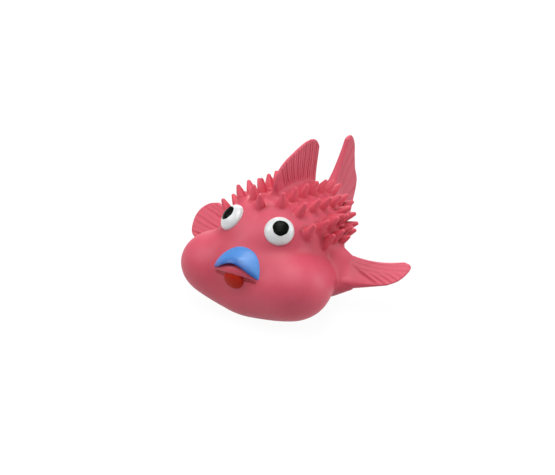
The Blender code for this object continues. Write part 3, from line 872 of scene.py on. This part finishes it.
# Tongue
# The round tip of a tongue between the lips under thick red enamel. It moves with the upper skin.
red_enamel = clouded(
    "red_enamel", 600.0, 4.0, dark=(0.350, 0.011, 0.004), light=(0.550, 0.025, 0.008),
    roughness=(0.34, 0.2), bump=(0.3, 0.0005), Specular_IOR_Level=0.12,
)
tongue_height = 0.0307
tongue_radii = np.array((0.0068, 0.0054))
tongue_rise = 0.0020
tongue_sink = 0.0030
tongue_foot = on_body((mouth_aside, mouth_depth, tongue_height), forward)
tongue = drop(
    "tongue_tip", tongue_foot, lambda unit: unit * tongue_radii,
    lambda spots, height: tongue_rise * height**0.6, lambda spots: -tongue_sink, red_enamel,
)
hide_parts("tongue")
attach(tongue, "back")


# Squeaker
# A round white plastic drum pushed into the belly's hole, held by its two flanges, with an air hole
# in its face. A cap plugs its top, and inside it a clamp holds a thin film reed on a slotted base.
white_plastic = clouded(
    "white_plastic", 300.0, 3.0, dark=(0.74, 0.74, 0.71), light=(0.82, 0.82, 0.80),
    roughness=(0.34, 0.12), bump=None, Specular_IOR_Level=0.5,
)
film = clouded(
    "reed_film", 900.0, 2.0, dark=(0.50, 0.52, 0.55), light=(0.60, 0.62, 0.65),
    roughness=(0.22, 0.12), bump=None, Specular_IOR_Level=0.5,
)
air_hole_radius = 0.0020
flange = 0.0010
bore_radius = 0.0062
plug_radius = bore_radius - gap
drum_radius = 0.0086
drum_rise = 0.0036
face_thickness = 0.0012
plug_depth = 0.0012
soft_edge = 0.00015


def turned(name, profile):
    """Spins a closed profile of (radius, height) points round the squeaker's axis and softens its edges."""
    wheel = bmesh.new()
    ring = [wheel.verts.new((radius, squeaker_y, height)) for radius, height in profile]
    sides = [wheel.edges.new(pair) for pair in zip(ring, ring[1:] + ring[:1])]
    bmesh.ops.spin(
        wheel, geom=ring + sides, cent=(0.0, squeaker_y, 0.0), axis=(0.0, 0.0, 1.0), angle=2 * pi,
        steps=round_steps, use_merge=True,
    )
    bmesh.ops.recalc_face_normals(wheel, faces=wheel.faces[:])
    sharp = [edge for edge in wheel.edges if edge.calc_face_angle(0.0) > 1.0]
    bmesh.ops.bevel(
        wheel, geom=sharp, offset=soft_edge, offset_type="OFFSET", segments=2, profile=0.5, affect="EDGES",
        material=-1,
    )
    return piece(name, wheel, white_plastic)


flange_low = recess_top - gap - flange
inner_low = seat_top + gap
drum_top = inner_low + flange + drum_rise
housing = turned("squeaker_drum", (
    (air_hole_radius, flange_low),
    (flange_radius, flange_low),
    (flange_radius, recess_top - gap),
    (neck_radius, recess_top - gap),
    (neck_radius, inner_low),
    (flange_radius, inner_low),
    (flange_radius, inner_low + flange),
    (drum_radius, inner_low + flange),
    (drum_radius, drum_top),
    (bore_radius, drum_top),
    (bore_radius, flange_low + face_thickness),
    (air_hole_radius, flange_low + face_thickness),
))
lid = turned("squeaker_lid", (
    (air_hole_radius, drum_top - plug_depth),
    (plug_radius, drum_top - plug_depth),
    (plug_radius, drum_top + gap),
    (drum_radius, drum_top + gap),
    (drum_radius, drum_top + gap + flange),
    (air_hole_radius, drum_top + gap + flange),
))
for made, node in ((housing, "squeaker_housing"), (lid, "squeaker_cap")):
    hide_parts(node)
    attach(made, "belly")
for node, finish in (("reed_base", white_plastic), ("reed_clamp", white_plastic), ("reed", film)):
    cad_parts[node].data.materials.clear()
    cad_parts[node].data.materials.append(finish)


# Fibre filling
# A loose wad of white polyester fibre that fills the body round the squeaker and holds its form.
fibre = clouded(
    "polyester_fibre", 160.0, 6.0, dark=(0.70, 0.70, 0.68), light=(0.86, 0.86, 0.85),
    roughness=(0.85, 0.12), bump=(0.8, 0.001), Specular_IOR_Level=0.2,
)
tufts_per_metre = 260
wad_share = 0.962
tuft_share = 0.022
room_radius = 0.0136
room_top = drum_top + flange + 3 * gap
wad = blown_cube(cuts=44, level=-skin_wall - 2 * gap)
for vert in wad.verts:
    x, y, z = vert.co * tufts_per_metre
    tuft = sin(x + 1.3 * sin(y)) * sin(y + sin(z)) * sin(z + 1.1 * sin(x))
    vert.co = Vector(trunk_centre).lerp(vert.co, wad_share + tuft_share * tuft)
wad = piece("fibre_wad", wad)
combine(wad, plug("room", room_radius, room_top), "DIFFERENCE")
wad.data.materials.clear()
wad.data.materials.append(fibre)
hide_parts("fibre_filling")
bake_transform(wad)


# Stage
# A plain white floor, soft lamps overhead and on all four sides, and the camera at the photograph's
# height and angle.
floor_size = 6.0
floor_drop = 0.0002
floor_glow = 1.08
floor_glow_share = 0.88
paper = Finish("white_paper", Base_Color=(0.55, 0.55, 0.55, 1), Roughness=0.9, Specular_IOR_Level=0.0)
glow = paper.node("ShaderNodeEmission", {}, 0, Strength=floor_glow)
seen = paper.node("ShaderNodeLightPath", {}, "Is Camera Ray")
for ray in ("Is Glossy Ray", "Is Transmission Ray"):
    seen = seen.math("MAXIMUM", seen, paper.node("ShaderNodeLightPath", {}, ray))
matt = Wire(paper.tree, paper.shader.outputs[0])
surface = paper.node("ShaderNodeMixShader", {}, 0, _0=seen * floor_glow_share, _1=matt, _2=glow)
paper.tree.links.new(surface.socket, paper.tree.nodes["Material Output"].inputs[0])
floor_mesh = bmesh.new()
bmesh.ops.create_grid(floor_mesh, x_segments=1, y_segments=1, size=floor_size)
floor = piece("floor", floor_mesh, paper.material)
floor.location.z = -floor_drop

world_light = 0.15
world = bpy.data.worlds.new("studio")
bpy.context.scene.world = world
world.use_nodes = True
background = world.node_tree.nodes["Background"]
background.inputs["Color"].default_value = (1, 1, 1, 1)
background.inputs["Strength"].default_value = world_light

lamp_size = 0.6
lamp_aim = Vector((0.0, -0.02, 0.04))
for name, at, power in (
    ("overhead", (0.0, -0.02, 1.14), 6.2),
    ("front", (0.32, -0.47, 0.99), 2.8),
    ("left", (-0.69, -0.50, 0.75), 4.4),
    ("right", (0.82, 0.55, 0.50), 5.0),
    ("behind", (-0.57, 0.80, 0.50), 6.4),
):
    light = bpy.data.lights.new(name, "AREA")
    light.size = lamp_size
    light.energy = power
    lamp = bpy.data.objects.new(name, light)
    bpy.context.scene.collection.objects.link(lamp)
    lamp.location = at
    lamp.rotation_euler = (lamp_aim - lamp.location).to_track_quat("-Z", "Y").to_euler()

picture_width = 555
picture_height = 475
eyes_middle = Vector((0.0, -0.0450, 0.0570))
eyes_pixel = (256, 224)
camera_distance = 0.600
camera_turn = radians(35.0)
camera_tilt = radians(25.0)
lens = bpy.data.cameras.new("camera")
lens.lens = 64.2
lens.sensor_width = 36.0
camera = bpy.data.objects.new("camera", lens)
bpy.context.scene.collection.objects.link(camera)
right = Vector((cos(camera_turn), sin(camera_turn), 0.0))
back = Vector((cos(camera_tilt) * sin(camera_turn), -cos(camera_tilt) * cos(camera_turn), sin(camera_tilt)))
up = back.cross(right)
metres_per_pixel = camera_distance * lens.sensor_width / lens.lens / picture_width
aside = right * (eyes_pixel[0] - picture_width / 2) - up * (eyes_pixel[1] - picture_height / 2)
camera.location = eyes_middle + back * camera_distance - aside * metres_per_pixel
camera.rotation_euler = Matrix((right, up, back)).transposed().to_euler()
bpy.context.scene.camera = camera
bpy.context.scene.view_settings.view_transform = "Standard"
